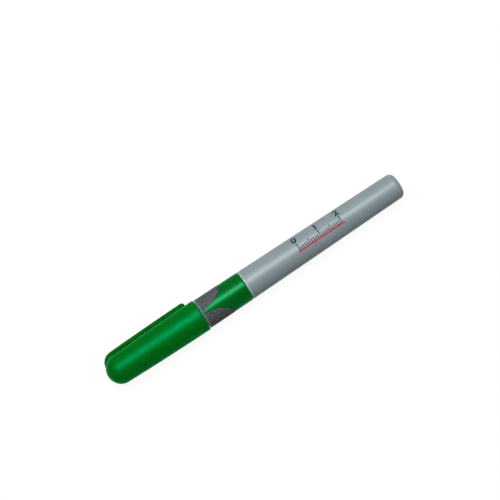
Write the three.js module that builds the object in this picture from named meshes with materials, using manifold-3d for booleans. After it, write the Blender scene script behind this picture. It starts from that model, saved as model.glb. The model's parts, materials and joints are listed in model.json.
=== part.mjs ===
// A permanent marker lying on a table: a domed cap with a pocket clip, a two-colour grip section,
// a tapered barrel, and the nib, ink reservoir and cap seal that they hold.
// Millimetres, +Z up. Each piece is drawn on the marker's own axis, +X from the cap's dome to the
// barrel's rear, with x = 0 at the cap's mouth; the last group then lays the marker down.
import * as THREE from "three";
import { mergeVertices } from "three/addons/utils/BufferGeometryUtils.js";
import Module from "manifold-3d";

const wasm = await Module();
wasm.setup();

// Clearances between separate pieces
const seamGap = 0.3; // along the axis, where two faces meet
const fitGap = 0.3; // round the axis, where one piece sits in another
const filmGap = 0.1; // between the fibre core and its film
const nibGap = 0.12; // between the nib and the bore that grips it
const cutRoom = 1; // how far a cutting solid reaches past the face that it opens

// Cap: an even wall, crowned along its length, with a dome at the closed end
const capLength = 44;
const capMouthRadius = 6.74;
const capDomeRadius = 6.04; // where the side turns into the dome
const capCrown = 0.14; // how far the side stands proud of a straight taper, half way along
const capWall = 1.1;
const capDomeHeight = 5.8;
const capLipRound = 0.4;
const capRibCount = 6;
const capRibWidth = 0.8;

// Pocket clip, which follows the cap's side and grows out of a rounded root at the dome
const clipWidth = 4.6;
const clipThickness = 1.9;
const clipRise = 2.62; // from the cap's side to the clip's outer face
const clipCrown = 0.22; // fall of the outer face from its middle to its edges
const clipEdge = 0.34; // softened corners
const clipTipSetback = 3.6; // from the mouth to the clip's free end
const clipTipRound = 1.5; // length of the rounded free end
const clipTipWidth = 1.6; // width that is left at the very end
const clipRootSetback = 1.1; // from the dome's tip to the root
const clipRootLength = 4;
const clipRootHeight = 5.5;
const clipBumpHeight = 0.4; // of the bump under the free end
const clipBumpLength = 2.4;

// Grip section: the nose that carries the nib, the seat for the cap, the grip, and the tail
const gripLength = 20;
const gripFrontRadius = 6.33;
const gripRearRadius = 6.25;
const gripEdge = 0.35;
const seatLength = 9.5;
const snapBead = 0.14;
const snapBeadLength = 1.2;
const snapBeadSetback = 3; // from the mouth to the bead's middle
const seatShoulder = 1.2; // length of the cone from the seat down to the collar
const collarRadius = 3.65;
const collarLength = 5.3;
const noseLength = 9.5;
const noseTipRadius = 1.95;
const tailLength = 11.5;
const chamberSetback = 3; // from the mouth to the front wall of the reservoir's chamber
const ventCount = 4;
const ventWidth = 0.5;
const ventDepth = 0.4;

// Soft grip pad: a ring behind the cap with two lobes, and a tongue of the section between them
const padDepth = 0.9; // depth of the pocket in the section
const padGap = 0.25; // between the pad and the pocket, all round
const padRingWidth = 1.2; // from the grip's shoulder to the tongue's tip
const padLobeLength = 10.2;
const padLobeFullness = 1.15; // 1 is half an ellipse, and more than 1 is fuller at the corners
const padLobeCount = 2;
const tongueTipWidth = 1.8;

// Nib
const nibRadius = 1.2;
const nibReach = 5; // how far it shows past the nose
const nibPointLength = 3.2;
const nibPointRadius = 0.45;
const nibInk = 8; // how far its rear end goes into the reservoir

// Seal cup inside the cap, which closes round the collar
const sealWall = 0.7;
const sealFlangeLength = 1.2;
const sealEndRadius = 3.4; // inside, at the closed end
const sealNibRoom = 5.3; // from the nib's point to the cup's floor

// Barrel
const barrelLength = 73.4;
const barrelFrontRadius = 6.2;
const barrelRearRadius = 5.41;
const barrelWall = 0.9;
const barrelEndWall = 1.2;
const barrelEdge = 0.3;
const rearFaceRadius = 3.8;
const rearRoundLength = 2.2;
const barrelRibCount = 6;
const barrelRibWidth = 0.7;
const barrelRibLength = 30;
const reservoirStop = 2.5; // height of the ribs' feet under the reservoir

// Ink reservoir: a fibre core in a film
const wrapRadius = 4;
const wrapWall = 0.15;

// How the pen is turned inside the cap: the tongue's middle, from straight up towards the clip's side
const tongueAngle = THREE.MathUtils.degToRad(-1.5);

// Flats round a turned piece and round a thin rod, and steps along curved stretches
const facets = 40;
const rodFacets = 20;
const curveSteps = 7;
const sideSteps = 6;
const lobeSteps = 24;

// Places along the axis
const capTip = -capLength;
const gripFront = seamGap;
const gripRear = gripFront + gripLength;
const barrelFront = gripRear + seamGap;
const barrelRear = barrelFront + barrelLength;
const seatFront = -seatLength;
const collarRear = seatFront - seatShoulder;
const collarFront = collarRear - collarLength;
const noseTip = collarFront - noseLength;
const nibTip = noseTip - nibReach;
const chamberFront = chamberSetback;
const reservoirFront = chamberFront + seamGap;
const reservoirRear = barrelRear - barrelEndWall - reservoirStop - seamGap;
const nibRear = reservoirFront + nibInk;
const tailRear = gripRear + tailLength;
const sealMouth = collarRear - seamGap;
const sealFlangeRear = sealMouth - sealFlangeLength;
const sealFloor = nibTip - sealNibRoom;
const ribFront = sealFlangeRear - seamGap;
const clipRootX = capTip + clipRootSetback;
const clipHingeX = clipRootX + clipRootLength;
const clipTipX = -clipTipSetback;

const lerp = THREE.MathUtils.lerp;

// How far a flat's middle is from the axis, as a share of the radius at its edges
const flatShare = Math.cos(Math.PI / facets);

// Outer radius of the cap at x, between the mouth and the dome
function capRadius(x) {
  const along = -x / (capLength - capDomeHeight);
  return lerp(capMouthRadius, capDomeRadius, along) + 4 * capCrown * along * (1 - along);
}

// Outer radius of the grip at x
function gripRadius(x) {
  return lerp(gripFrontRadius, gripRearRadius, (x - gripFront) / gripLength);
}

// Outer radius of the barrel at x, as if its taper ran to the very end
function barrelRadius(x) {
  return lerp(barrelFrontRadius, barrelRearRadius, (x - barrelFront) / barrelLength);
}

// Points [x, r] on an ellipse about [cx, cr], from one angle to another in degrees
function arc(cx, cr, alongX, alongR, from, to, steps = curveSteps) {
  return Array.from({ length: steps + 1 }, (_, i) => {
    const angle = THREE.MathUtils.degToRad(lerp(from, to, i / steps));
    return [cx + alongX * Math.cos(angle), cr + alongR * Math.sin(angle)];
  });
}

// Points [x, r] from one x to another on a radius that is a function of x
function side(radius, from, to, steps = sideSteps) {
  return Array.from({ length: steps + 1 }, (_, i) => {
    const x = lerp(from, to, i / steps);
    return [x, radius(x)];
  });
}

// A closed geometry as a solid, ready to be joined and cut
function solidFrom(geometry) {
  const bare = geometry.clone();
  bare.deleteAttribute("normal");
  bare.deleteAttribute("uv");
  const merged = mergeVertices(bare, 1e-4);
  const corners = merged.index.array;
  const kept = [];
  for (let i = 0; i < corners.length; i += 3) {
    const [a, b, c] = corners.slice(i, i + 3);
    if (a !== b && b !== c && c !== a) kept.push(a, b, c);
  }
  return new wasm.Manifold(
    new wasm.Mesh({
      numProp: 3,
      vertProperties: merged.attributes.position.array,
      triVerts: new Uint32Array(kept),
    }),
  );
}

// A solid as a named mesh
function meshFrom(name, solid, material) {
  const { vertProperties, triVerts } = solid.getMesh();
  const geometry = new THREE.BufferGeometry();
  geometry.setAttribute("position", new THREE.BufferAttribute(vertProperties, 3));
  geometry.setIndex(new THREE.BufferAttribute(triVerts, 1));
  geometry.computeVertexNormals();
  const mesh = new THREE.Mesh(geometry, material);
  mesh.name = name;
  return mesh;
}

// A solid turned about the X axis. Its outline [x, r] runs from the rear to the front along the
// outside, and closes on itself or ends on the axis. The phase says where its first flat starts.
function turned(outline, phase = 0, segments = facets) {
  const points = outline.map(([x, r]) => new THREE.Vector2(r, x)).reverse();
  const onAxis = points[0].x === 0 && points.at(-1).x === 0;
  if (!onAxis) points.push(points[0].clone());
  return solidFrom(new THREE.LatheGeometry(points, segments, phase).rotateZ(-Math.PI / 2));
}

// A block with one corner at each of two points
function block(low, high) {
  const size = new THREE.Vector3().subVectors(high, low);
  const middle = new THREE.Vector3().addVectors(low, high).multiplyScalar(0.5);
  const box = new THREE.BoxGeometry(size.x, size.y, size.z);
  return solidFrom(box.translate(middle.x, middle.y, middle.z));
}

// The same blade at even steps round the X axis, joined
function blades(count, width, fromX, toX, innerRadius, outerRadius) {
  const low = new THREE.Vector3(fromX, -width / 2, innerRadius);
  const high = new THREE.Vector3(toX, width / 2, outerRadius);
  const blade = block(low, high);
  const all = Array.from({ length: count }, (_, i) => blade.rotate([(360 * i) / count, 0, 0]));
  return wasm.Manifold.union(all);
}

// A closed skin over rings of points, each ring an array of Vector3, with a fan at each end
function loft(rings) {
  const count = rings[0].length;
  const positions = rings.flat().flatMap((p) => p.toArray());
  const faces = [];
  for (let k = 0; k + 1 < rings.length; k++) {
    for (let j = 0; j < count; j++) {
      const a = k * count + j;
      const b = k * count + ((j + 1) % count);
      faces.push(a, b, b + count, a, b + count, a + count);
    }
  }
  [rings[0], rings.at(-1)].forEach((ring, end) => {
    const centre = ring.reduce((sum, p) => sum.add(p), new THREE.Vector3()).divideScalar(count);
    const hub = positions.length / 3;
    positions.push(...centre.toArray());
    const first = end ? (rings.length - 1) * count : 0;
    for (let j = 0; j < count; j++) {
      const a = first + j;
      const b = first + ((j + 1) % count);
      faces.push(...(end ? [a, b, hub] : [b, a, hub]));
    }
  });
  const geometry = new THREE.BufferGeometry();
  geometry.setAttribute("position", new THREE.Float32BufferAttribute(positions, 3));
  return solidFrom(geometry.setIndex(faces));
}

// How far the clip's crowned face has fallen at y from its middle
function clipFall(y) {
  return clipCrown * (y / (clipWidth / 2)) ** 2;
}

// One cross-section of the clip at x: a crowned outer face with softened edges above a flat
// underside. Half the width at the tip follows a round end.
function clipRing(x, halfWidth, top, bottom) {
  const edge = Math.min(clipEdge, halfWidth / 3, (top - bottom) / 3);
  const across = [-1, -0.5, 0, 0.5, 1];
  const inner = halfWidth - edge;
  return [
    new THREE.Vector3(x, -inner, bottom),
    new THREE.Vector3(x, -halfWidth, bottom + edge),
    new THREE.Vector3(x, -halfWidth, top - edge - clipFall(halfWidth)),
    ...across.map((share) => new THREE.Vector3(x, share * inner, top - clipFall(share * inner))),
    new THREE.Vector3(x, halfWidth, top - edge - clipFall(halfWidth)),
    new THREE.Vector3(x, halfWidth, bottom + edge),
    new THREE.Vector3(x, inner, bottom),
  ].reverse();
}

// Height of the clip's outer face above the axis at x
function clipTop(x) {
  return capRadius(x) + clipRise;
}

// Lying down, the marker touches the table at the cap's lip, at the barrel's rear and at the lower
// of the clip's two outer corners. The tilt and the roll follow from those three places.
function restPose() {
  const rearX = barrelRear - rearRoundLength;
  const lipX = -2 * capLipRound;
  const fall = (capRadius(lipX) - barrelRadius(rearX)) * flatShare;
  const tilt = Math.asin(fall / (rearX - lipX));
  const clipX = clipTipX - clipTipRound;
  const depth = capRadius(lipX) * flatShare + (lipX - clipX) * Math.tan(tilt);
  const corners = [
    [clipWidth / 2 - clipEdge, clipTop(clipX) - clipFall(clipWidth / 2 - clipEdge)],
    [clipWidth / 2, clipTop(clipX) - clipFall(clipWidth / 2) - clipEdge],
  ];
  const fromDown = corners.map(([y, z]) => Math.atan2(y, z) + Math.acos(depth / Math.hypot(y, z)));
  return { tilt, roll: Math.max(...fromDown) - Math.PI };
}

const { tilt, roll } = restPose();

// The phase that puts a flat under a turned piece, once its group has been rolled by that angle
function flatDown(groupRoll) {
  return Math.PI - groupRoll - Math.PI / facets;
}

const capPhase = flatDown(roll);
const penPhase = flatDown(-tongueAngle);

// Height of the clip's underside above the axis at x
function clipUnderside(x) {
  const bumpMiddle = clipTipX - clipTipRound - clipBumpLength / 2;
  const share = (x - bumpMiddle) / (clipBumpLength / 2);
  return clipTop(x) - clipThickness - clipBumpHeight * Math.max(0, 1 - share ** 2);
}

// The free length of the clip, drawn about its hinge line, with a bump inside its tip
function makeClip(material) {
  const start = clipHingeX + seamGap / 2;
  const roundX = clipTipX - clipTipRound;
  const bumpX = roundX - clipBumpLength;
  const length = [...side(clipTop, start, bumpX, 2 * sideSteps), ...side(clipTop, bumpX, roundX).slice(1)];
  const rings = length.map(([x, top]) => clipRing(x, clipWidth / 2, top, clipUnderside(x)));
  const tip = arc(roundX, 0, clipTipRound, 1, 70, 12, 3).map(([x, round]) => {
    const top = clipTop(x) - (clipThickness / 2) * (1 - round);
    return clipRing(x, lerp(clipTipWidth, clipWidth, round) / 2, top, clipTop(x) - clipThickness);
  });
  const body = loft([...rings, ...tip]);
  return meshFrom("pocket_clip", body.translate([-clipHingeX, 0, -clipHingeZ]), material);
}

// The hinge line lies in the middle of the clip's thickness, where it leaves the root
const clipHingeZ = clipTop(clipHingeX) - clipThickness / 2;

// The rounded root that joins the clip to the dome
function clipRoot() {
  const end = clipHingeX - seamGap / 2;
  const centreZ = clipTop(clipHingeX) - clipRootHeight;
  const stations = arc(clipHingeX, centreZ, clipRootLength, clipRootHeight, 176, 94);
  const rings = stations.map(([x, top]) => clipRing(x, clipWidth / 2, top, 0));
  return loft(rings.concat([clipRing(end, clipWidth / 2, clipTop(end), 0)]));
}

function makeCapShell(material) {
  const domeX = capTip + capDomeHeight;
  const outside = turned([
    [0, 0],
    [0, capMouthRadius - capLipRound],
    ...arc(-capLipRound, capMouthRadius - capLipRound, capLipRound, capLipRound, 45, 80, 2),
    ...side(capRadius, -2 * capLipRound, domeX),
    ...arc(domeX, 0, capDomeHeight, capDomeRadius, 98, 174, curveSteps + 2),
    [capTip, 0],
  ], capPhase);
  const boreAt = (x) => capRadius(x) - capWall;
  const cavity = turned([
    [cutRoom, 0],
    [cutRoom, boreAt(0) + capLipRound / 2],
    [0, boreAt(0) + capLipRound / 2],
    ...side(boreAt, -capLipRound, domeX),
    ...arc(domeX, 0, capDomeHeight - capWall, capDomeRadius - capWall, 102, 172),
    [capTip + capWall, 0],
  ], capPhase);
  const ribInner = collarRadius + fitGap + sealWall + fitGap;
  const ribs = blades(capRibCount, capRibWidth, capTip, ribFront, ribInner, capMouthRadius);
  const shell = outside.add(clipRoot()).subtract(cavity.subtract(ribs));
  return meshFrom("cap_shell", shell, material);
}

function makeCapSeal(material) {
  const mouthRadius = collarRadius + fitGap;
  const flangeRadius = capRadius(sealFlangeRear) - capWall - fitGap;
  const back = sealFloor - sealWall;
  const cup = turned([
    [sealMouth, mouthRadius],
    [sealMouth, flangeRadius],
    [sealFlangeRear, flangeRadius],
    [sealFlangeRear, mouthRadius + sealWall],
    [back + sealWall, sealEndRadius + sealWall],
    ...arc(back + sealWall, sealEndRadius, sealWall, sealWall, 120, 180, 2),
    [back, 0],
    [sealFloor, 0],
    [sealFloor, sealEndRadius],
  ], capPhase);
  return meshFrom("cap_seal", cup, material);
}

// A ring round the axis, from one x to a rear edge that runs out in lobes. The tongue between two
// lobes points forwards, with its tip at tipX.
function lobedRing(frontX, tipX, lobeLength, tipWidth, innerDrop, outerRise) {
  const halfPitch = Math.PI / padLobeCount;
  const halfLobe = halfPitch - tipWidth / 2 / gripFrontRadius;
  const fuller = (share) => Math.sign(share) * Math.abs(share) ** (1 / padLobeFullness);
  const columns = [];
  for (let lobe = 0; lobe < padLobeCount; lobe++) {
    for (let i = 0; i <= lobeSteps; i++) {
      const turn = (Math.PI * i) / lobeSteps;
      const angle = halfPitch * (2 * lobe + 1) - halfLobe * fuller(Math.cos(turn));
      columns.push([angle, tipX + lobeLength * fuller(Math.sin(turn))]);
    }
  }
  const at = (x, r, angle) => [x, r * Math.sin(angle), r * Math.cos(angle)];
  const positions = columns.flatMap(([angle, rearX]) => [
    ...at(frontX, gripRadius(frontX) - innerDrop, angle),
    ...at(frontX, gripRadius(frontX) + outerRise, angle),
    ...at(rearX, gripRadius(rearX) + outerRise, angle),
    ...at(rearX, gripRadius(rearX) - innerDrop, angle),
  ]);
  const faces = [];
  columns.forEach((_, k) => {
    const here = 4 * k;
    const next = 4 * ((k + 1) % columns.length);
    for (let j = 0; j < 4; j++) {
      const up = (j + 1) % 4;
      faces.push(here + j, here + up, next + up, here + j, next + up, next + j);
    }
  });
  const geometry = new THREE.BufferGeometry();
  geometry.setAttribute("position", new THREE.Float32BufferAttribute(positions, 3));
  return solidFrom(geometry.setIndex(faces));
}

function makeGripPad(material) {
  const tipX = gripFront + padRingWidth;
  const tipWidth = tongueTipWidth + 2 * padGap;
  const pad = lobedRing(gripFront, tipX, padLobeLength, tipWidth, padDepth - padGap, 0);
  return meshFrom("grip_pad", pad, material);
}

function makeGripSection(material) {
  const seatRadius = capRadius(seatFront) - capWall - fitGap;
  const boreAt = (x) => barrelRadius(x) - barrelWall;
  const tailAt = (x) => boreAt(x) - fitGap;
  const chamberRadius = wrapRadius + fitGap;
  const nibBore = nibRadius + nibGap;
  const beadX = -snapBeadSetback;
  const body = turned([
    [tailRear, chamberRadius],
    [tailRear, tailAt(tailRear) - gripEdge],
    [tailRear - gripEdge, tailAt(tailRear)],
    [gripRear, tailAt(barrelFront)],
    [gripRear, gripRadius(gripRear) - gripEdge],
    [gripRear - gripEdge, gripRadius(gripRear)],
    ...side(gripRadius, gripRear - 2 * gripEdge, gripFront, 3),
    [gripFront, seatRadius],
    [beadX + snapBeadLength / 2, seatRadius],
    [beadX, seatRadius + snapBead],
    [beadX - snapBeadLength / 2, seatRadius],
    [seatFront + gripEdge, seatRadius],
    [seatFront, seatRadius - gripEdge],
    [collarRear, collarRadius],
    [collarFront, collarRadius],
    [collarFront, collarRadius - gripEdge],
    [noseTip + gripEdge, noseTipRadius],
    [noseTip, noseTipRadius - gripEdge / 2],
    [noseTip, nibBore],
    [chamberFront, nibBore],
    [chamberFront, chamberRadius],
  ], penPhase);
  const ventRadius = nibBore + ventDepth;
  const ventFront = noseTip - cutRoom;
  const ventRear = chamberFront + cutRoom;
  const vents = blades(ventCount, ventWidth, ventFront, ventRear, 0, ventRadius);
  const ventSlots = vents.intersect(
    turned([
      [ventRear, 0],
      [ventRear, ventRadius],
      [noseTip + ventDepth, ventRadius],
      [ventFront, nibBore],
      [ventFront, 0],
    ], penPhase),
  );
  const tipX = gripFront + padRingWidth + padGap;
  const pocketLobe = padLobeLength + padGap;
  const pocket = lobedRing(gripFront - cutRoom, tipX, pocketLobe, tongueTipWidth, padDepth, cutRoom);
  return meshFrom("grip_section", body.subtract(ventSlots).subtract(pocket), material);
}

function makeNib(material) {
  const pointRear = nibTip + nibPointLength;
  const nib = turned(
    [
      [nibRear, 0],
      [nibRear, nibRadius * 0.5],
      [nibRear - nibRadius, nibRadius],
      [pointRear, nibRadius],
      ...arc(nibTip + nibPointRadius, 0, nibPointRadius, nibPointRadius, 108, 168, 4),
      [nibTip, 0],
    ],
    penPhase,
    rodFacets,
  );
  return meshFrom("nib", nib, material);
}

function makeReservoirCore(material) {
  const radius = wrapRadius - wrapWall - filmGap;
  const socket = nibRadius + nibGap;
  const core = turned([
    [reservoirRear, 0],
    [reservoirRear, radius],
    [reservoirFront, radius],
    [reservoirFront, socket],
    [nibRear + nibGap, socket],
    [nibRear + nibGap, 0],
  ], penPhase);
  return meshFrom("reservoir_core", core, material);
}

function makeReservoirWrap(material) {
  const film = turned([
    [reservoirRear, wrapRadius],
    [reservoirFront, wrapRadius],
    [reservoirFront, wrapRadius - wrapWall],
    [reservoirRear, wrapRadius - wrapWall],
  ], penPhase);
  return meshFrom("reservoir_wrap", film, material);
}

function makeBarrel(material) {
  const roundX = barrelRear - rearRoundLength;
  const roundRise = barrelRadius(roundX) - rearFaceRadius;
  const outside = turned([
    [barrelRear, 0],
    ...arc(roundX, rearFaceRadius, rearRoundLength, roundRise, 0, 90),
    [barrelFront + barrelEdge, barrelRadius(barrelFront + barrelEdge)],
    [barrelFront, barrelFrontRadius - barrelEdge],
    [barrelFront, 0],
  ], penPhase);
  const boreAt = (x) => barrelRadius(x) - barrelWall;
  const floorX = barrelRear - barrelEndWall;
  const cavity = turned([
    [floorX, 0],
    ...arc(roundX, rearFaceRadius - barrelWall, floorX - roundX, roundRise, 0, 90, 3),
    [barrelFront, boreAt(barrelFront)],
    [barrelFront - cutRoom, boreAt(barrelFront)],
    [barrelFront - cutRoom, 0],
  ], penPhase);
  const ribInner = wrapRadius + fitGap;
  const ribStart = reservoirRear - barrelRibLength;
  const stopX = reservoirRear + seamGap;
  const guides = blades(barrelRibCount, barrelRibWidth, ribStart, barrelRear, ribInner, barrelFrontRadius);
  const feet = blades(barrelRibCount, barrelRibWidth, stopX, barrelRear, wrapRadius / 2, barrelFrontRadius);
  return meshFrom("barrel", outside.subtract(cavity.subtract(guides).subtract(feet)), material);
}

const satinGreen = new THREE.MeshStandardMaterial({ color: "#056c23", roughness: 0.42 });
const glossGreen = new THREE.MeshStandardMaterial({ color: "#04682b", roughness: 0.22 });
const padGrey = new THREE.MeshStandardMaterial({ color: "#4f5257", roughness: 0.8 });
const barrelGrey = new THREE.MeshStandardMaterial({ color: "#88959a", roughness: 0.38 });
const sealWhite = new THREE.MeshStandardMaterial({ color: "#e9ece8", roughness: 0.5 });
const inkedFelt = new THREE.MeshStandardMaterial({ color: "#0c5f34", roughness: 0.95 });
const inkedCore = new THREE.MeshStandardMaterial({ color: "#1f6b43", roughness: 1 });
const clearFilm = new THREE.MeshStandardMaterial({ color: "#dfe6e4", roughness: 0.2 });

const clip = new THREE.Group();
clip.name = "clip_hinge";
clip.position.set(clipHingeX, 0, clipHingeZ);
clip.add(makeClip(satinGreen));

const cap = new THREE.Group();
cap.name = "cap";
cap.rotation.x = roll;
cap.add(makeCapShell(satinGreen), makeCapSeal(sealWhite), clip);

const pen = new THREE.Group();
pen.name = "pen";
pen.rotation.x = -tongueAngle;
pen.add(
  makeBarrel(barrelGrey),
  makeGripSection(glossGreen),
  makeGripPad(padGrey),
  makeNib(inkedFelt),
  makeReservoirCore(inkedCore),
  makeReservoirWrap(clearFilm),
);

const lying = new THREE.Group();
lying.name = "lying";
lying.rotation.y = tilt;
lying.add(cap, pen);

// The origin is under the middle of the marker, on the table
const marker = new THREE.Group();
marker.name = "marker";
marker.add(lying);
marker.updateMatrixWorld(true);
const extent = new THREE.Box3().setFromObject(marker, true);
const middle = extent.getCenter(new THREE.Vector3());
lying.position.set(-middle.x, -middle.y, -extent.min.z);

export default marker;
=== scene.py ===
# %% [markdown]
# # A permanent marker lying on a table
#
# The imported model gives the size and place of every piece. This lesson dresses it: each piece that shows
# gets a finer mesh of the same size, and each finish is built from what the real plastic, rubber or felt is.

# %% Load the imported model
import json
from math import cos, pi, radians, sin, sqrt, tan, tau

import bmesh
import bpy
from mathutils import Matrix, Vector


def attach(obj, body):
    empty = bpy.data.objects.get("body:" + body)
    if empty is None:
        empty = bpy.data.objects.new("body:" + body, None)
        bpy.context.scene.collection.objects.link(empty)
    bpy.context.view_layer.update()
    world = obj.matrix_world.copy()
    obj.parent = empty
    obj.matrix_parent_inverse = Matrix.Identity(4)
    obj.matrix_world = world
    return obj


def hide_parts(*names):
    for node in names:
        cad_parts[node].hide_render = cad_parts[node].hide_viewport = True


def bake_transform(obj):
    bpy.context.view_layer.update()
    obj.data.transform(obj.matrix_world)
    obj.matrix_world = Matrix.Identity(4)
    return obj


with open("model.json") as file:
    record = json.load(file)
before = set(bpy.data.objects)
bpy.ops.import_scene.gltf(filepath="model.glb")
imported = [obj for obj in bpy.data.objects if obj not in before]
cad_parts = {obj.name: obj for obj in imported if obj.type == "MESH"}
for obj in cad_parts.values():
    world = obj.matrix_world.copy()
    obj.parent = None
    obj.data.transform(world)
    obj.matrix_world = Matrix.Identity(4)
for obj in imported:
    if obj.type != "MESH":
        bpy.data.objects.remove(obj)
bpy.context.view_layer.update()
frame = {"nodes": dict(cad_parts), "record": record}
print("CAD nodes:", ", ".join(sorted(frame["nodes"])))

# %% [markdown]
# ## The marker's own axes
#
# A marker is a turned object, so every piece is easiest to draw on its own axis, in millimetres, with x = 0
# at the cap's mouth. The record says where that axis lies: the barrel's rear face gives a point and a
# direction, and the clip's hinge gives the side that the clip is on. Two matrices then carry the
# drawings to their place, one for the cap and one for the pen, which is turned a little inside it.

# %% Work out the two matrices
MM = 0.001
MOUTH_TO_REAR_FACE = 94.0
TONGUE_ANGLE = radians(-1.5)  # from straight up towards the clip's side

record = frame["record"]
rear_face = next(m for m in record["mounts"] if m["name"] == "rear_end_face")
clip_hinge = next(j for j in record["behaviour"]["joints"] if j["name"] == "clip_flex")
along = Vector(rear_face["axis"]).normalized()
mouth = Vector(rear_face["pos_m"]) - along * MOUTH_TO_REAR_FACE * MM


def own_axis(up):
    """The matrix from millimetres on the marker's axis, with z towards up, to the frame in metres."""
    z = (up - along * up.dot(along)).normalized()
    turn = Matrix((along, z.cross(along), z)).transposed().to_4x4()
    return Matrix.Translation(mouth) @ turn @ Matrix.Scale(MM, 4)


cap_place = own_axis(Vector(clip_hinge["axis"]).cross(along))
pen_place = own_axis(Vector((0, sin(TONGUE_ANGLE), cos(TONGUE_ANGLE))))
print("cap mouth at", [round(c, 5) for c in mouth])

# %% [markdown]
# ## Sizes
#
# These are the real sizes that the pieces share, in millimetres. A radius that changes along the marker is
# a function of x, so that whatever lies on that surface can ask for it.

# %% Sizes that the pieces share
CAP_LENGTH = 44.0
CAP_MOUTH_RADIUS = 6.74
CAP_DOME_RADIUS = 6.04
CAP_CROWN = 0.14
CAP_DOME_HEIGHT = 5.8
CAP_WALL = 1.1
GRIP_FRONT = 0.12  # a line of shadow lies between the cap and the grip
GRIP_REAR = 20.48  # and another between the grip and the barrel
GRIP_FRONT_RADIUS = 6.33
GRIP_REAR_RADIUS = 6.25
BARREL_FRONT = 20.6
BARREL_FRONT_RADIUS = 6.2
BARREL_REAR_RADIUS = 5.41


def blend_between(a, b, share):
    return a + (b - a) * share


def cap_radius(x):
    share = -x / (CAP_LENGTH - CAP_DOME_HEIGHT)
    return blend_between(CAP_MOUTH_RADIUS, CAP_DOME_RADIUS, share) + 4 * CAP_CROWN * share * (1 - share)


def grip_radius(x):
    return blend_between(GRIP_FRONT_RADIUS, GRIP_REAR_RADIUS, (x - GRIP_FRONT) / (GRIP_REAR - GRIP_FRONT))


def barrel_radius(x):
    share = (x - BARREL_FRONT) / (MOUTH_TO_REAR_FACE - BARREL_FRONT)
    return blend_between(BARREL_FRONT_RADIUS, BARREL_REAR_RADIUS, share)


barrel_middle = (BARREL_FRONT + MOUTH_TO_REAR_FACE) / 2
print("length", CAP_LENGTH + MOUTH_TO_REAR_FACE, "mm")
print("the barrel's middle is", round(2 * barrel_radius(barrel_middle), 2), "mm thick")

# %% [markdown]
# ## Drawing helpers
#
# Most pieces are outlines turned about the axis. The Screw modifier does that to a drawn curve, but code
# can also let the outline change on its way round, which the grip needs. Real moulded corners are never
# sharp, so the outline is given as corners with a rounding each, and one function rounds them. It also
# puts a point close beside each round, so that the smooth shading of a long flat side isn't pulled
# round the corner.

# %% Outlines and turned meshes
ROUND_STEPS = 5
SUPPORT = 0.08  # distance from a round to the point beside it
ROUND_SHARE = 0.45  # a round takes at most this share of a side
TURNS = 144
MERGE = 1e-4  # points closer than this many millimetres are one


def arc(centre_x, centre_r, along_x, along_r, start, stop, steps=16):
    """Points on an ellipse, from one angle to another in degrees."""
    angles = [radians(blend_between(start, stop, i / steps)) for i in range(steps + 1)]
    return [(centre_x + along_x * cos(a), centre_r + along_r * sin(a)) for a in angles]


def stretch(radius, start, stop, steps=8):
    """Points on a surface whose radius is a function of x."""
    places = [blend_between(start, stop, i / steps) for i in range(steps + 1)]
    return [(x, radius(x)) for x in places]


def rounded(corners):
    """An outline from corners (x, r) or (x, r, rounding)."""
    outline = []
    for i, corner in enumerate(corners):
        here = Vector(corner[:2])
        if len(corner) < 3:
            outline.append(tuple(here))
            continue
        back = Vector(corners[i - 1][:2]) - here
        ahead = Vector(corners[(i + 1) % len(corners)][:2]) - here
        reach = corner[2] / tan(back.angle(ahead) / 2)
        reach = min(reach, ROUND_SHARE * back.length, ROUND_SHARE * ahead.length)
        back.normalize()
        ahead.normalize()
        start, stop = here + back * reach, here + ahead * reach
        outline.append(tuple(start + back * min(SUPPORT, reach)))
        for k in range(ROUND_STEPS + 1):
            t = k / ROUND_STEPS
            outline.append(tuple(start * (1 - t) ** 2 + here * 2 * t * (1 - t) + stop * t * t))
        outline.append(tuple(stop + ahead * min(SUPPORT, reach)))
    return outline


def skin(columns, closed_outline):
    """Vertices and quads over columns of points round the axis, each column (angle, outline)."""
    count = len(columns[0][1])
    vertices = [(x, r * sin(angle), r * cos(angle)) for angle, line in columns for x, r in line]
    faces = []
    for k in range(len(columns)):
        here, there = k * count, (k + 1) % len(columns) * count
        for j in range(count if closed_outline else count - 1):
            up = (j + 1) % count
            faces.append((here + j, here + up, there + up, there + j))
    return vertices, faces


def turned(outline, turns=TURNS):
    """The skin of an outline turned about the axis, closed on the axis or on itself."""
    on_axis = outline[0][1] < MERGE and outline[-1][1] < MERGE
    return skin([(tau * k / turns, outline) for k in range(turns)], not on_axis)


corner = rounded([(0, 0), (1, 0, 0.2), (1, 1)])
print("points on a rounded corner:", len(corner) - 2)

# %% [markdown]
# ## From a drawing to a piece
#
# One function makes the Blender mesh, merges the points that meet on the axis, turns the faces outwards,
# puts it in place and shades it smooth up to a real edge. Another names its CAD body, the node that
# it stands for and the material slot.

# %% Make and file a piece
EDGE_ANGLE = radians(38)  # from here up an edge is a real one


def make_mesh(name, vertices, faces, place):
    mesh = bpy.data.meshes.new(name)
    mesh.from_pydata(vertices, [], faces)
    build = bmesh.new()
    build.from_mesh(mesh)
    bmesh.ops.remove_doubles(build, verts=build.verts, dist=MERGE)
    bmesh.ops.dissolve_degenerate(build, edges=build.edges, dist=MERGE)
    loose = [edge for edge in build.edges if not edge.link_faces]
    bmesh.ops.delete(build, geom=loose, context="EDGES")
    bmesh.ops.recalc_face_normals(build, faces=build.faces)
    build.to_mesh(mesh)
    build.free()
    mesh.transform(place)
    mesh.shade_smooth()
    mesh.set_sharp_from_angle(angle=EDGE_ANGLE)
    piece = bpy.data.objects.new(name, mesh)
    bpy.context.scene.collection.objects.link(piece)
    print(f"{name}: {len(mesh.polygons)} faces")
    return piece


def file_piece(piece, material, body, node=None):
    piece.data.materials.clear()
    piece.data.materials.append(material)
    if body:
        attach(piece, body)
    if node:
        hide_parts(node)


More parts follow.
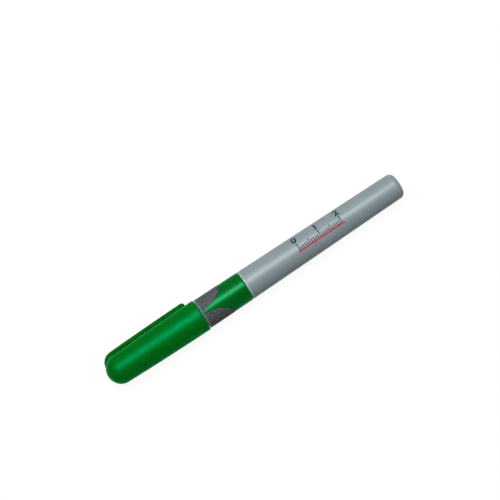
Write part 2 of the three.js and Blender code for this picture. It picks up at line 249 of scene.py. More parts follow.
# %% [markdown]
# ## Node helpers
#
# Colours are written as sRGB hex values, as a paint chart gives them, and turned to linear light once. One
# small function adds any node, with its settings and its links, to a material or to a geometry tree. A
# finish could also be painted as an image, but nodes stay sharp close up and need no unwrapping.

# %% Colour and node helpers
def linear(hex_colour):
    """An sRGB hex colour as linear light, with alpha 1."""
    channels = [int(hex_colour[i : i + 2], 16) / 255 for i in (1, 3, 5)]
    return (*[c / 12.92 if c <= 0.04045 else ((c + 0.055) / 1.055) ** 2.4 for c in channels], 1.0)


def set_inputs(tree, node, inputs):
    """A node's inputs set to values, or linked to other nodes' outputs."""
    for name, value in inputs.items():
        if isinstance(value, bpy.types.NodeSocket):
            tree.links.new(value, node.inputs[name])
        else:
            node.inputs[name].default_value = value


def add_node(tree, kind, settings=None, inputs=None):
    """A new node with its settings and its inputs."""
    node = tree.nodes.new(kind)
    for name, value in (settings or {}).items():
        setattr(node, name, value)
    set_inputs(tree, node, inputs or {})
    return node


def new_material(name):
    """A material with its tree and with the shader that Blender puts in it, joined to the output."""
    material = bpy.data.materials.new(name)
    material.use_nodes = True
    return material, material.node_tree, material.node_tree.nodes["Principled BSDF"]


print("middle grey as linear light:", round(linear("#808080")[0], 3))

# %% [markdown]
# ## Patterns fixed to the piece
#
# Clouds, grain and ripple are noise in the piece's own coordinates, so they don't slide when it moves, and
# their sizes are given in millimetres. The pad's paler front edge and the bead's painted highlight depend on
# the place along the marker instead: a dot product with the marker's direction gives that as a plain
# distance.

# %% Noise of a real size, and the place along the marker
NOISE_SPAN = {"From Min": 0.3, "From Max": 0.7}  # noise lies mostly between these values


def noise_on_surface(tree, grain_mm, detail=2.0):
    """Noise with features of about that many millimetres, fixed to the piece."""
    place = add_node(tree, "ShaderNodeTexCoord").outputs["Object"]
    sizes = {"Vector": place, "Scale": 1 / (grain_mm * MM), "Detail": detail}
    return add_node(tree, "ShaderNodeTexNoise", inputs=sizes).outputs["Fac"]


def along_marker(tree):
    """How far a point lies behind the cap's mouth along the marker, in metres."""
    place = add_node(tree, "ShaderNodeTexCoord").outputs["Object"]
    dot = add_node(tree, "ShaderNodeVectorMath", {"operation": "DOT_PRODUCT"}, {0: place, 1: along})
    inputs = {0: dot.outputs["Value"], 1: along.dot(mouth)}
    return add_node(tree, "ShaderNodeMath", {"operation": "SUBTRACT"}, inputs).outputs["Value"]


print("marker's direction", [round(c, 5) for c in along])

# %% [markdown]
# ## Moulded plastics
#
# The cap, the grip section and the barrel are injection-moulded polypropylene. It is coloured right
# through, with an IOR near 1.49. The mould's polish sets the gloss: satin on the cap and barrel, bright
# on the grip, and dull on the clip, whose slot in the mould is hard to polish. Close up the surface is
# never even: the melt leaves faint clouds of colour, the gloss drifts, and the skin has a very shallow
# ripple.
#
# At a low angle every clear skin turns into a mirror, and over a white sheet that draws a pale line along
# each edge. The photograph shows no such line: its edges stay deep in colour. So the specular level is
# low, which keeps the line thin. A tint brighter than white then gives the highlight its strength back,
# because the tint counts only where the surface is looked at squarely. A little green sheen, the bloom,
# stands for the light that the pigment sends out along the edges.

# %% A moulded plastic
PP_IOR = 1.49
CLOUD_SIZE = 9.0  # millimetres, and so are the next two
GLOSS_DRIFT_SIZE = 3.0
RIPPLE_SIZE = 1.2
GLOSS_DRIFT = 0.07  # how far the roughness drifts up and down, as a share
RIPPLE_STRENGTH = 0.2
BLOOM_ROUGHNESS = 0.4
NO_BLOOM = "#000000"


def moulded_plastic(name, clouds, roughness, ripple_mm, gloss=("#ffffff", 0.2, 1.0), bloom=NO_BLOOM):
    """A plastic from the two colours of its clouds, its gloss (tint, level, gain) and its bloom's tint."""
    glint, level, gain = gloss
    material, tree, shader = new_material(name)
    cloud = {"Value": noise_on_surface(tree, CLOUD_SIZE), **NOISE_SPAN}
    cloud = add_node(tree, "ShaderNodeMapRange", inputs=cloud).outputs["Result"]
    colours = {0: cloud, 6: linear(clouds[0]), 7: linear(clouds[1])}
    drift = {
        "Value": noise_on_surface(tree, GLOSS_DRIFT_SIZE),
        **NOISE_SPAN,
        "To Min": roughness * (1 - GLOSS_DRIFT),
        "To Max": roughness * (1 + GLOSS_DRIFT),
    }
    ripple = {
        "Height": noise_on_surface(tree, RIPPLE_SIZE, 1.0),
        "Distance": ripple_mm * MM,
        "Strength": RIPPLE_STRENGTH,
    }
    skin_inputs = {
        "Base Color": add_node(tree, "ShaderNodeMix", {"data_type": "RGBA"}, colours).outputs[2],
        "Roughness": add_node(tree, "ShaderNodeMapRange", inputs=drift).outputs["Result"],
        "Normal": add_node(tree, "ShaderNodeBump", inputs=ripple).outputs["Normal"],
        "IOR": PP_IOR,
        "Specular IOR Level": level,
        "Specular Tint": [gain * c for c in linear(glint)[:3]] + [1.0],
        "Sheen Weight": 0.0 if bloom == NO_BLOOM else 1.0,
        "Sheen Roughness": BLOOM_ROUGHNESS,
        "Sheen Tint": linear(bloom),
    }
    set_inputs(tree, shader, skin_inputs)
    return material


cap_bloom = "#00c868"
cap_gloss = ("#00ffac", 0.01, 22.0)
cap_clouds = ("#025c02", "#025902")
satin_green = moulded_plastic("satin_green_plastic", cap_clouds, 0.45, 0.003, cap_gloss, cap_bloom)
clip_gloss = ("#00ff80", 0.01, 12.0)
dull_green = moulded_plastic("dull_green_plastic", cap_clouds, 0.55, 0.004, clip_gloss)
grip_gloss = ("#50ffb0", 0.012, 21.0)
grip_clouds = ("#005302", "#005002")
grip_bloom = "#00c48c"
gloss_green = moulded_plastic("bright_green_plastic", grip_clouds, 0.3, 0.001, grip_gloss, grip_bloom)
barrel_gloss = ("#f4ffff", 0.15, 1.72)
satin_grey = moulded_plastic("satin_grey_plastic", ("#7e8b90", "#7a878c"), 0.45, 0.003, barrel_gloss)
natural_pe = moulded_plastic("natural_polyethylene", ("#e4e7e1", "#dde0d9"), 0.45, 0.004)
print("moulded plastics ready")

# %% [markdown]
# The barrel's front bead is mixed towards a paler grey: a painted highlight along its edge beside the grip.
# It could be a second material on the bead's faces, but that would end at a hard line, and this painted
# highlight fades.

# %% The bead's painted highlight
BEAD_HIGHLIGHT_FADE = (0.5, 0.8)  # where the painted highlight starts to fade and where it ends, behind the barrel's front


# Paints a highlight on the bead: its colour is mixed towards a paler grey that fades behind the barrel's
# front.
def whiten_bead(material, pale):
    tree = material.node_tree
    colour = tree.nodes["Principled BSDF"].inputs["Base Color"]
    start, stop = [(BARREL_FRONT + x) * MM for x in BEAD_HIGHLIGHT_FADE]
    fade = {"Value": along_marker(tree), "From Min": start, "From Max": stop, "To Min": 1.0, "To Max": 0.0}
    fade = add_node(tree, "ShaderNodeMapRange", inputs=fade).outputs["Result"]
    colours = {0: fade, 6: colour.links[0].from_socket, 7: linear(pale)}
    highlighted_colour = add_node(tree, "ShaderNodeMix", {"data_type": "RGBA"}, colours).outputs[2]
    tree.links.new(highlighted_colour, colour)


# painted highlight: the bead's colour is mixed towards this paler grey
whiten_bead(satin_grey, "#a3aeb2")
print("bead highlight painted")

# %% [markdown]
# ## Soft-touch rubber
#
# The pad is a thermoplastic elastomer moulded over the section. It is matt, and its colour follows its
# grain:
# painted shade in the hollows and paler on the crests. At its front edge, beside the cap's mouth, its colour
# is paler still. The real grain is a few tenths of a millimetre; here it is a little coarser, so that it
# shows.

# %% The pad's elastomer
PAD_GRAIN = 0.7
GRAIN_DEPTH = 0.06
GRAIN_STRENGTH = 0.6
PALE_EDGE_FULL = 0.7  # up to here behind the cap's mouth the edge is fully pale, and from here the paleness fades
PALE_EDGE_END = 1.3
PALE_EDGE_SHARE = 0.85


def soft_touch_rubber():
    material, tree, shader = new_material("soft_touch_elastomer")
    grain = noise_on_surface(tree, PAD_GRAIN, 4.0)
    # painted shade: the colour is darker where the grain's relief is low and paler where it is high
    grain_shade_share = add_node(tree, "ShaderNodeMapRange", inputs={"Value": grain, **NOISE_SPAN}).outputs["Result"]
    colours = {0: grain_shade_share, 6: linear("#36393d"), 7: linear("#575a5f")}
    rubber = add_node(tree, "ShaderNodeMix", {"data_type": "RGBA"}, colours).outputs[2]
    # the pad's colour is mixed towards a paler grey at its front edge, beside the cap's mouth
    fade = {
        "Value": along_marker(tree),
        "From Min": PALE_EDGE_FULL * MM,
        "From Max": PALE_EDGE_END * MM,
        "To Min": PALE_EDGE_SHARE,
        "To Max": 0.0,
    }
    pale_edge_share = add_node(tree, "ShaderNodeMapRange", inputs=fade).outputs["Result"]
    colours = {0: pale_edge_share, 6: rubber, 7: linear("#66686d")}
    dullness = {"Value": grain, **NOISE_SPAN, "To Min": 0.8, "To Max": 0.62}
    relief = {"Height": grain, "Distance": GRAIN_DEPTH * MM, "Strength": GRAIN_STRENGTH}
    rubber_inputs = {
        "Base Color": add_node(tree, "ShaderNodeMix", {"data_type": "RGBA"}, colours).outputs[2],
        "Roughness": add_node(tree, "ShaderNodeMapRange", inputs=dullness).outputs["Result"],
        "Normal": add_node(tree, "ShaderNodeBump", inputs=relief).outputs["Normal"],
        "IOR": 1.5,
        "Specular IOR Level": 0.12,
    }
    set_inputs(tree, shader, rubber_inputs)
    return material


pad_rubber = soft_touch_rubber()
print("pad rubber ready")

# %% [markdown]
# ## Fibre, film and print
#
# The nib is polyester fibre bonded into a rod, and the reservoir is a looser bundle of it. Both are soaked
# with ink, so they are dark, matt and streaked along the fibres. The streaks are noise stretched
# along the marker. The film is thin clear polypropylene, and the print is pad-printed ink, a
# thin satin coat.

# %% Fibre, film and print
FIBRE_STRETCH = (0.08, 1, 1)  # the streaks are about 12 times as long as they are wide
FIBRE_DEPTH = 0.05
FIBRE_STRENGTH = 0.6


def inked_fibre(name, dark, light, fibre_mm):
    material, tree, shader = new_material(name)
    place = add_node(tree, "ShaderNodeTexCoord").outputs["Object"]
    stretched = add_node(tree, "ShaderNodeMapping", inputs={"Vector": place, "Scale": FIBRE_STRETCH})
    sizes = {"Vector": stretched.outputs["Vector"], "Scale": 1 / (fibre_mm * MM), "Detail": 3.0}
    streaks = add_node(tree, "ShaderNodeTexNoise", inputs=sizes).outputs["Fac"]
    share = add_node(tree, "ShaderNodeMapRange", inputs={"Value": streaks, **NOISE_SPAN}).outputs["Result"]
    colours = {0: share, 6: linear(dark), 7: linear(light)}
    dullness = {"Value": streaks, **NOISE_SPAN, "To Min": 0.9, "To Max": 0.7}
    relief = {"Height": streaks, "Distance": FIBRE_DEPTH * MM, "Strength": FIBRE_STRENGTH}
    fibre_inputs = {
        "Base Color": add_node(tree, "ShaderNodeMix", {"data_type": "RGBA"}, colours).outputs[2],
        "Roughness": add_node(tree, "ShaderNodeMapRange", inputs=dullness).outputs["Result"],
        "Normal": add_node(tree, "ShaderNodeBump", inputs=relief).outputs["Normal"],
        "Specular IOR Level": 0.2,
    }
    set_inputs(tree, shader, fibre_inputs)
    return material


nib_felt = inked_fibre("inked_polyester_nib", "#053d20", "#0d6a3a", 0.12)
core_fibre = inked_fibre("inked_fibre_bundle", "#0c5030", "#2b8055", 0.25)
clear_film = moulded_plastic("clear_polypropylene_film", ("#dfe6e4", "#d8e0dd"), 0.15, 0.001)
ink_gloss = ("#ffffff", 0.1, 1.0)
black_print = moulded_plastic("black_pad_print", ("#0d1216", "#14191d"), 0.42, 0.001, ink_gloss)
red_print = moulded_plastic("red_pad_print", ("#b3163c", "#ab1238"), 0.42, 0.001, ink_gloss)
print("fibre, film and print ready")

# %% [markdown]
# ## Cap shell
#
# The cap is one moulding: a slightly crowned cone that runs into a dome, with an even wall and a small
# round at its lip. It is turned as one outline, from the dome's tip along the outside to the lip and back
# along the bore. A shell with the Solidify modifier would be quicker, but its lip would be square.

# %% Turn the cap shell
LIP_ROUND = 0.7  # outside
LIP_INNER_ROUND = 0.25
LIP_LENGTHS = (1.2, 1.0)  # where the even rows of points stop before the mouth, outside and inside
LIP_BESIDE = (0.2, 0.15)  # how far beside the lip's rounds the next points lie, outside and inside


def cap_shell_outline():
    dome_x = -CAP_LENGTH + CAP_DOME_HEIGHT

    def bore(x):
        return cap_radius(x) - CAP_WALL

    outside = arc(dome_x, 0, CAP_DOME_HEIGHT, CAP_DOME_RADIUS, 180, 92, 28)
    outside += stretch(cap_radius, dome_x, -LIP_LENGTHS[0], 24)
    outer, inner = LIP_ROUND, LIP_INNER_ROUND
    beside_outer, beside_inner = -outer - LIP_BESIDE[0], -inner - LIP_BESIDE[1]
    lip = [
        (beside_outer, cap_radius(beside_outer)),
        *arc(-outer, cap_radius(0) - outer, outer, outer, 90, 0, 6),
        *arc(-inner, bore(0) + inner, inner, -inner, 0, 90, 4),
        (beside_inner, bore(beside_inner)),
    ]
    inside = stretch(bore, -LIP_LENGTHS[1], dome_x, 16)
    inside += arc(dome_x, 0, CAP_DOME_HEIGHT - CAP_WALL, CAP_DOME_RADIUS - CAP_WALL, 92, 180, 16)
    outline = outside + lip + inside
    outline[0] = (outline[0][0], 0.0)
    outline[-1] = (outline[-1][0], 0.0)
    return outline


shell = make_mesh("cap_moulding", *turned(cap_shell_outline()), cap_place)
file_piece(shell, satin_green, "cap", "cap_shell")

# %% [markdown]
# ## Growing a piece from a tree
#
# Geometry Nodes suit what repeats. Two helpers serve every such piece: one makes a tree with named inputs
# for its sizes, and the other lets the tree grow on an object and keeps the result as a plain mesh.

# %% Helpers for geometry trees
def geometry_tree(name, sizes):
    """A geometry tree with named inputs, and its group input and output nodes."""
    tree = bpy.data.node_groups.new(name, "GeometryNodeTree")
    tree.interface.new_socket("Geometry", in_out="INPUT", socket_type="NodeSocketGeometry")
    for label, (kind, value) in sizes.items():
        socket = tree.interface.new_socket(label, in_out="INPUT", socket_type=kind)
        socket.default_value = value
    tree.interface.new_socket("Geometry", in_out="OUTPUT", socket_type="NodeSocketGeometry")
    return tree, add_node(tree, "NodeGroupInput"), add_node(tree, "NodeGroupOutput")


def grown(name, tree, material, place, start=None):
    """The mesh that a tree makes, from an empty mesh or a start object, as a piece in its place."""
    seed = start or bpy.data.objects.new(name, bpy.data.meshes.new(name))
    if not start:
        bpy.context.scene.collection.objects.link(seed)
    seed.modifiers.new("grow", "NODES").node_group = tree
    evaluated = seed.evaluated_get(bpy.context.evaluated_depsgraph_get())
    mesh = bpy.data.meshes.new_from_object(evaluated)
    seed.modifiers.clear()
    bpy.data.objects.remove(seed)
    mesh.name = name
    mesh.transform(place)
    mesh.materials.clear()
    mesh.materials.append(material)
    piece = bpy.data.objects.new(name, mesh)
    bpy.context.scene.collection.objects.link(piece)
    print(f"{name}: {len(mesh.polygons)} faces")
    return piece


print("tree helpers ready")

# %% [markdown]
# ## Ribs inside the cap
#
# Six ribs hold the seal cup in the middle of the cap. They are equal and evenly spaced. An Array modifier
# could turn copies round an empty, but a tree keeps the count and the sizes in one place: a point for each
# rib, the rib instanced on it, and each instance turned about the axis.

# %% Grow the ribs
RIB_COUNT = 6
RIB_WIDTH = 0.8
RIB_FRONT = -12.5
RIB_BACK = -37.5
RIB_INNER = 4.95
RIB_SUNK = 0.4  # how far a rib reaches into the cap's wall
RIB_OUTER = cap_radius(RIB_BACK) - CAP_WALL + RIB_SUNK


def rib_tree(count, width, front, back, inner, outer, material):
    tree, sizes, result = geometry_tree(
        "cap_ribs",
        {
            "Count": ("NodeSocketInt", count),
            "Size": ("NodeSocketVector", (front - back, width, outer - inner)),
            "Middle": ("NodeSocketVector", ((front + back) / 2, 0, (outer + inner) / 2)),
        },
    )
    size = sizes.outputs
    block = add_node(tree, "GeometryNodeMeshCube", inputs={"Size": size["Size"]})
    inputs = {"Geometry": block.outputs["Mesh"], "Translation": size["Middle"]}
    rib = add_node(tree, "GeometryNodeTransform", inputs=inputs)
    points = add_node(tree, "GeometryNodePoints", inputs={"Count": size["Count"]})
    index = add_node(tree, "GeometryNodeInputIndex").outputs["Index"]
    inputs = {0: index, 1: size["Count"]}
    share = add_node(tree, "ShaderNodeMath", {"operation": "DIVIDE"}, inputs).outputs["Value"]
    angle = add_node(tree, "ShaderNodeMath", {"operation": "MULTIPLY"}, {0: share, 1: tau}).outputs["Value"]
    inputs = {
        "Points": points.outputs["Points"],
        "Instance": rib.outputs["Geometry"],
        "Rotation": add_node(tree, "ShaderNodeCombineXYZ", inputs={"X": angle}).outputs["Vector"],
    }
    ribs = add_node(tree, "GeometryNodeInstanceOnPoints", inputs=inputs)
    real = add_node(tree, "GeometryNodeRealizeInstances", inputs={"Geometry": ribs.outputs["Instances"]})
    inputs = {"Geometry": real.outputs["Geometry"], "Material": material}
    painted = add_node(tree, "GeometryNodeSetMaterial", inputs=inputs)
    tree.links.new(painted.outputs["Geometry"], result.inputs["Geometry"])
    return tree


cap_ribs = grown(
    "cap_ribs",
    rib_tree(RIB_COUNT, RIB_WIDTH, RIB_FRONT, RIB_BACK, RIB_INNER, RIB_OUTER, satin_green),
    satin_green,
    cap_place,
)
file_piece(cap_ribs, satin_green, "cap")

# %% [markdown]
# ## Pocket clip
#
# The clip is moulded with the cap. It grows out of the dome on a rounded root, runs along the cap's side
# with a gap for cloth, and ends in a round tip with a bump on its underside. A box with bevels would do
# from afar, but the root and the tip change their section all the time. So the clip is drawn as a row of
# cross-sections, each a soft rectangle with a crowned top.

# %% Loft the pocket clip
CLIP_HALF_WIDTH = 2.3
CLIP_THICKNESS = 1.9
CLIP_RISE = 2.62
CLIP_FALL = 0.22
CLIP_SQUARENESS = 5.0
CLIP_TIP = -3.6
CLIP_TIP_ROUND = 1.5
CLIP_ROOT = -CAP_LENGTH + 1.1
CLIP_HINGE = CLIP_ROOT + 4.0
ROOT_HEIGHT = 5.5
ROOT_SUNK = 0.7
BUMP_HEIGHT = 0.4
BUMP_HALF_LENGTH = 1.2
FREE_AFTER = 1.3  # the underside leaves the cap over this length
CLIP_TIP_WIDTH = 0.3  # at the very tip, as a share of the whole width
CLIP_TIP_DROP = 0.35  # how far the top comes down there, as a share of the thickness
CLIP_THINNEST = 0.2
CLIP_POINTS = 44


def smooth_step(share):
    share = min(max(share, 0.0), 1.0)
    return share * share * (3 - 2 * share)


def dome_or_side(x):
    """The cap's outer radius at x, dome included."""
    dome_x = -CAP_LENGTH + CAP_DOME_HEIGHT
    if x >= dome_x:
        return cap_radius(x)
    return CAP_DOME_RADIUS * sqrt(max(0.0, 1 - ((dome_x - x) / CAP_DOME_HEIGHT) ** 2))


def clip_section(x):
    """(half width, top, bottom) of the clip at x."""
    top = cap_radius(x) + CLIP_RISE
    if x < CLIP_HINGE:
        share = (CLIP_HINGE - x) / (CLIP_HINGE - CLIP_ROOT)
        top -= ROOT_HEIGHT * (1 - sqrt(max(0.0, 1 - share * share)))
    free = cap_radius(x) + CLIP_RISE - CLIP_THICKNESS
    middle = CLIP_TIP - CLIP_TIP_ROUND - BUMP_HALF_LENGTH
    free -= BUMP_HEIGHT * max(0.0, 1 - ((x - middle) / BUMP_HALF_LENGTH) ** 2)
    sunk = dome_or_side(x) - ROOT_SUNK
    bottom = blend_between(sunk, free, smooth_step((x - CLIP_HINGE) / FREE_AFTER))
    width = CLIP_HALF_WIDTH
    if x > CLIP_TIP - CLIP_TIP_ROUND:
        share = (x - CLIP_TIP + CLIP_TIP_ROUND) / CLIP_TIP_ROUND
        round_off = sqrt(max(0.0, 1 - share * share))
        width *= blend_between(CLIP_TIP_WIDTH, 1.0, round_off)
        top -= CLIP_TIP_DROP * CLIP_THICKNESS * (1 - round_off)
    return width, top, min(bottom, top - CLIP_THINNEST)


def soft_power(value, power):
    """A power that keeps the sign, which turns a circle into a soft rectangle."""
    return abs(value) ** power * (1 if value > 0 else -1)


def clip_ring(x):
    width, top, bottom = clip_section(x)
    ring = []
    for k in range(CLIP_POINTS):
        angle = tau * k / CLIP_POINTS
        y = width * soft_power(cos(angle), 2 / CLIP_SQUARENESS)
        z = (top + bottom) / 2 + (top - bottom) / 2 * soft_power(sin(angle), 2 / CLIP_SQUARENESS)
        z -= CLIP_FALL * (y / CLIP_HALF_WIDTH) ** 2 * (z - bottom) / (top - bottom)
        ring.append((x, y, z))
    return ring


def clip_stations():
    """Places along the clip, close together at the root and the tip."""
    root = [CLIP_HINGE - (CLIP_HINGE - CLIP_ROOT) * cos(pi / 2 * k / 20) for k in range(20)]
    leave = [CLIP_HINGE + FREE_AFTER * k / 10 for k in range(11)]
    arm_end = CLIP_TIP - CLIP_TIP_ROUND
    arm = [blend_between(leave[-1], arm_end, k / 60) for k in range(1, 61)]
    tip = [arm_end + CLIP_TIP_ROUND * sin(pi / 2 * k / 14) for k in range(1, 15)]
    return root + leave + arm + tip


def lofted_rings(rings):
    count = len(rings[0])
    vertices = [point for ring in rings for point in ring]
    faces = []
    for k in range(len(rings) - 1):
        for j in range(count):
            a, b = k * count + j, k * count + (j + 1) % count
            faces.append((a, b, b + count, a + count))
    faces.append(tuple(range(count)))
    last = (len(rings) - 1) * count
    faces.append(tuple(range(last, last + count)))
    return vertices, faces


clip = make_mesh("pocket_clip_moulding", *lofted_rings([clip_ring(x) for x in clip_stations()]), cap_place)
file_piece(clip, dull_green, None, "pocket_clip")
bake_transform(clip)

# %% [markdown]
# ## Seal cup
#
# Inside the cap a soft white cup closes round the section's collar, so that the nib doesn't dry out. A
# plain tube would hide in the dark of the cap, but its mouth shows when the cap is off, so it is turned
# with the same rounds as the rest.

# %% Turn the seal cup
SEAL_MOUTH = -11.0
SEAL_FLOOR = -35.8
SEAL_WALL = 0.7
SEAL_FLANGE = 1.2
SEAL_FLANGE_RADIUS = 5.25
SEAL_END_RADIUS = 3.4
SEAL_BORE = 3.95

seal_outline = rounded(
    [
        (SEAL_FLOOR - SEAL_WALL, 0.0),
        (SEAL_FLOOR - SEAL_WALL, SEAL_END_RADIUS + SEAL_WALL, 0.6),
        (SEAL_MOUTH - SEAL_FLANGE, SEAL_BORE + SEAL_WALL, 0.2),
        (SEAL_MOUTH - SEAL_FLANGE, SEAL_FLANGE_RADIUS, 0.15),
        (SEAL_MOUTH, SEAL_FLANGE_RADIUS, 0.25),
        (SEAL_MOUTH, SEAL_BORE, 0.35),
        (SEAL_FLOOR, SEAL_END_RADIUS, 0.5),
        (SEAL_FLOOR, 0.0),
    ]
)
seal = make_mesh("seal_cup", *turned(seal_outline), cap_place)
file_piece(seal, natural_pe, "cap", "cap_seal")

# %% [markdown]
# ## The pad's edge
#
# The grey pad is a ring with two lobes, and the green tongues of the section run forwards between them.
# One curve is the edge of both, so it is worked out once: each lobe is a slightly full half ellipse, and
# the tongue's tip is a small round. Cutting one mesh with the other would leave ragged shading along the
# edge, while a shared curve lets both meshes end on it. The pad takes the curve with a hairline gap.

# %% The edge that the pad and the section share
LOBES = 2
LOBE_LENGTH = 10.2
LOBE_FULLNESS = 1.15
RING_WIDTH = 1.4
TIP_WIDTH = 1.8
TIP_BULGE = 0.45
LOBE_STEPS = 90
TIP_STEPS = 10
HAIRLINE = 0.05


def pad_edge(gap):
    """(angle, x) along the edge, drawn in by a gap towards the pad."""
    half_pitch = pi / LOBES
    half_tip = (TIP_WIDTH / 2 + gap) / GRIP_FRONT_RADIUS
    half_lobe = half_pitch - half_tip
    tip_x = GRIP_FRONT + RING_WIDTH - gap
    power = 1 / LOBE_FULLNESS
    edge = []
    for lobe in range(LOBES):
        middle = half_pitch * (2 * lobe + 1)
        for i in range(LOBE_STEPS + 1):
            turn = pi * i / LOBE_STEPS
            across = soft_power(cos(turn), power) if abs(cos(turn)) > 1e-9 else 0.0
            edge.append((middle - half_lobe * across, tip_x + LOBE_LENGTH * abs(sin(turn)) ** power))
        for i in range(1, TIP_STEPS):
            u = -1 + 2 * i / TIP_STEPS
            edge.append((middle + half_pitch + half_tip * u, tip_x - TIP_BULGE * (1 - u * u)))
    return edge


print("pad edge points:", len(pad_edge(0)))

# %% [markdown]
# ## Grip section
#
# The section is one green moulding: the nose that grips the nib, the collar for the seal, the seat and snap
# bead for the cap, the grip that shows, and the tail inside the barrel. A turned outline alone can't follow
# the pad's lobes. So every column of points round it has the same outline, except that the pocket for
# the pad ends where the pad's edge is.

# %% Skin the grip section
NOSE_TIP = -25.5
NOSE_TIP_RADIUS = 1.95
COLLAR_FRONT = -16.0
COLLAR_REAR = -10.7
COLLAR_RADIUS = 3.65
COLLAR_STEP = 0.35
SEAT_FRONT = -9.5
SEAT_RADIUS = 5.27
SNAP_X = -3.0
SNAP_HALF_WIDTH = 0.6
SNAP_HEIGHT = 0.14
POCKET_DEPTH = 0.9
POCKET_ROUND = 0.12
POCKET_LEAN = 0.02  # keeps the pocket's walls from standing quite upright
POCKET_ROWS = 0.25  # the even rows of points start this far behind the pocket
NIB_BORE = 1.26
VENTS = 4
VENT_WIDTH = 0.5
VENT_DEPTH = 0.4
VENT_SLOPE = 0.12
CHAMBER_X = 3.0
CHAMBER_RADIUS = 4.3
TAIL_RADIUS = 4.95
TAIL_REAR = 32.1
TAIL_TAPER = 0.12
GRIP_EDGE = 0.5  # the rounding at the seam with the barrel
GRIP_EDGE_START = 1.3  # the points of that rounding start this far before the seam
ROW_GAP = 0.05  # keeps two points of the outline from meeting


def bore_radius(angle):
    """The bore round the nib, with four air vents along it."""
    pitch = tau / VENTS
    aside = abs(angle - round(angle / pitch) * pitch) * NIB_BORE
    return NIB_BORE + VENT_DEPTH * smooth_step((VENT_WIDTH / 2 - aside) / VENT_SLOPE + 0.5)


def section_outline(pocket_end, bore):
    pocket = grip_radius(pocket_end) - POCKET_DEPTH
    front = rounded(
        [
            (CHAMBER_X, bore),
            (NOSE_TIP, bore, 0.12),
            (NOSE_TIP, NOSE_TIP_RADIUS, 0.3),
            (COLLAR_FRONT, COLLAR_RADIUS - COLLAR_STEP, 0.15),
            (COLLAR_FRONT, COLLAR_RADIUS, 0.2),
            (COLLAR_REAR, COLLAR_RADIUS, 0.3),
            (SEAT_FRONT, SEAT_RADIUS, 0.5),
            (SNAP_X - SNAP_HALF_WIDTH, SEAT_RADIUS, 0.2),
            (SNAP_X, SEAT_RADIUS + SNAP_HEIGHT, 0.3),
            (SNAP_X + SNAP_HALF_WIDTH, SEAT_RADIUS, 0.2),
            (GRIP_FRONT + POCKET_LEAN, SEAT_RADIUS),
        ]
    )
    third = POCKET_ROUND / 3
    edge_start = GRIP_REAR - GRIP_EDGE_START
    wall = [
        (GRIP_FRONT + POCKET_LEAN, pocket),
        (pocket_end - POCKET_LEAN, pocket),
        (pocket_end, grip_radius(pocket_end) - POCKET_ROUND),
        (pocket_end + third, grip_radius(pocket_end) - third),
        (pocket_end + POCKET_ROUND, grip_radius(pocket_end + POCKET_ROUND)),
        *stretch(grip_radius, pocket_end + POCKET_ROWS, edge_start - ROW_GAP, 8),
    ]
    rear = rounded(
        [
            (edge_start, grip_radius(edge_start)),
            (GRIP_REAR, grip_radius(GRIP_REAR), GRIP_EDGE),
            (GRIP_REAR, TAIL_RADIUS, 0.1),
            (TAIL_REAR, TAIL_RADIUS - TAIL_TAPER, 0.3),
            (TAIL_REAR, CHAMBER_RADIUS, 0.2),
            (CHAMBER_X, CHAMBER_RADIUS, 0.3),
            (CHAMBER_X, bore + ROW_GAP),
        ]
    )
    return front + wall + rear


section_columns = [(angle, section_outline(x, bore_radius(angle))) for angle, x in pad_edge(0)]
section = make_mesh("grip_section_moulding", *skin(section_columns, True), pen_place)
file_piece(section, gloss_green, "pen", "grip_section")

# %% [markdown]
# ## Grip pad
#
# The pad fills its pocket and stands a hair proud of the plastic, because soft elastomer swells a little
# when the mould opens. Its top edges are rounded over. Raising the section's own faces would be simpler,
# but then the seam between rubber and plastic would be a change of colour and not an edge.

# %% Skin the grip pad
PAD_PROUD = 0.06
PAD_ROUND = 0.16
PAD_CLEARANCE = 0.05


def pad_outline(rear_x):
    def top(x):
        return grip_radius(x) + PAD_PROUD

    low = GRIP_FRONT_RADIUS - POCKET_DEPTH + PAD_CLEARANCE
    front_x, round_x = GRIP_FRONT + PAD_ROUND, rear_x - PAD_ROUND
    front_round = arc(front_x, top(GRIP_FRONT) - PAD_ROUND, -PAD_ROUND, PAD_ROUND, 0, 90, 5)
    rear_round = arc(round_x, top(rear_x) - PAD_ROUND, PAD_ROUND, PAD_ROUND, 90, 0, 5)
    spread = stretch(top, front_x, round_x, 12)[1:-1]
    return [(GRIP_FRONT, low), *front_round, *spread, *rear_round, (rear_x, low)]


pad_columns = [(angle, pad_outline(x)) for angle, x in pad_edge(HAIRLINE)]
pad = make_mesh("grip_pad_moulding", *skin(pad_columns, True), pen_place)
file_piece(pad, pad_rubber, "pen", "grip_pad")

# %% [markdown]
# ## Nib
#
# The nib is a rod of bonded fibre that is ground to a point: a straight shank, a cone and a small ball. A
# cone and a cylinder joined would show a hard ring between them, so it is one turned outline.

# %% Turn the nib
NIB_TIP = -30.5
NIB_RADIUS = 1.2
NIB_POINT_RADIUS = 0.45
NIB_CONE = 3.2
NIB_CONE_START = (0.4, 0.44)  # where the ball gives way to the cone: behind the tip, and the radius there
NIB_REAR = 11.3

cone_start = (NIB_TIP + NIB_CONE_START[0], NIB_CONE_START[1])
nib_outline = [
    *arc(NIB_TIP + NIB_POINT_RADIUS, 0, NIB_POINT_RADIUS, NIB_POINT_RADIUS, 180, 106, 10),
    *rounded([cone_start, (NIB_TIP + NIB_CONE, NIB_RADIUS, 1.2), (NIB_REAR, NIB_RADIUS, 0.4)]),
    (NIB_REAR, 0.0),
]
nib_outline[0] = (NIB_TIP, 0.0)
nib = make_mesh("nib_rod", *turned(nib_outline, 64), pen_place)
file_piece(nib, nib_felt, "pen", "nib")

# %% [markdown]
# ## Barrel
#
# The barrel is a long taper with an even wall. A small bead round its front edge catches the light
# beside the grip, and its rear end is closed, flat in the middle with a large soft round. A bevelled
# cylinder has one width of bevel for both, so the barrel is turned too. Its outline meets the axis
# twice, at the rear face and at the floor inside.

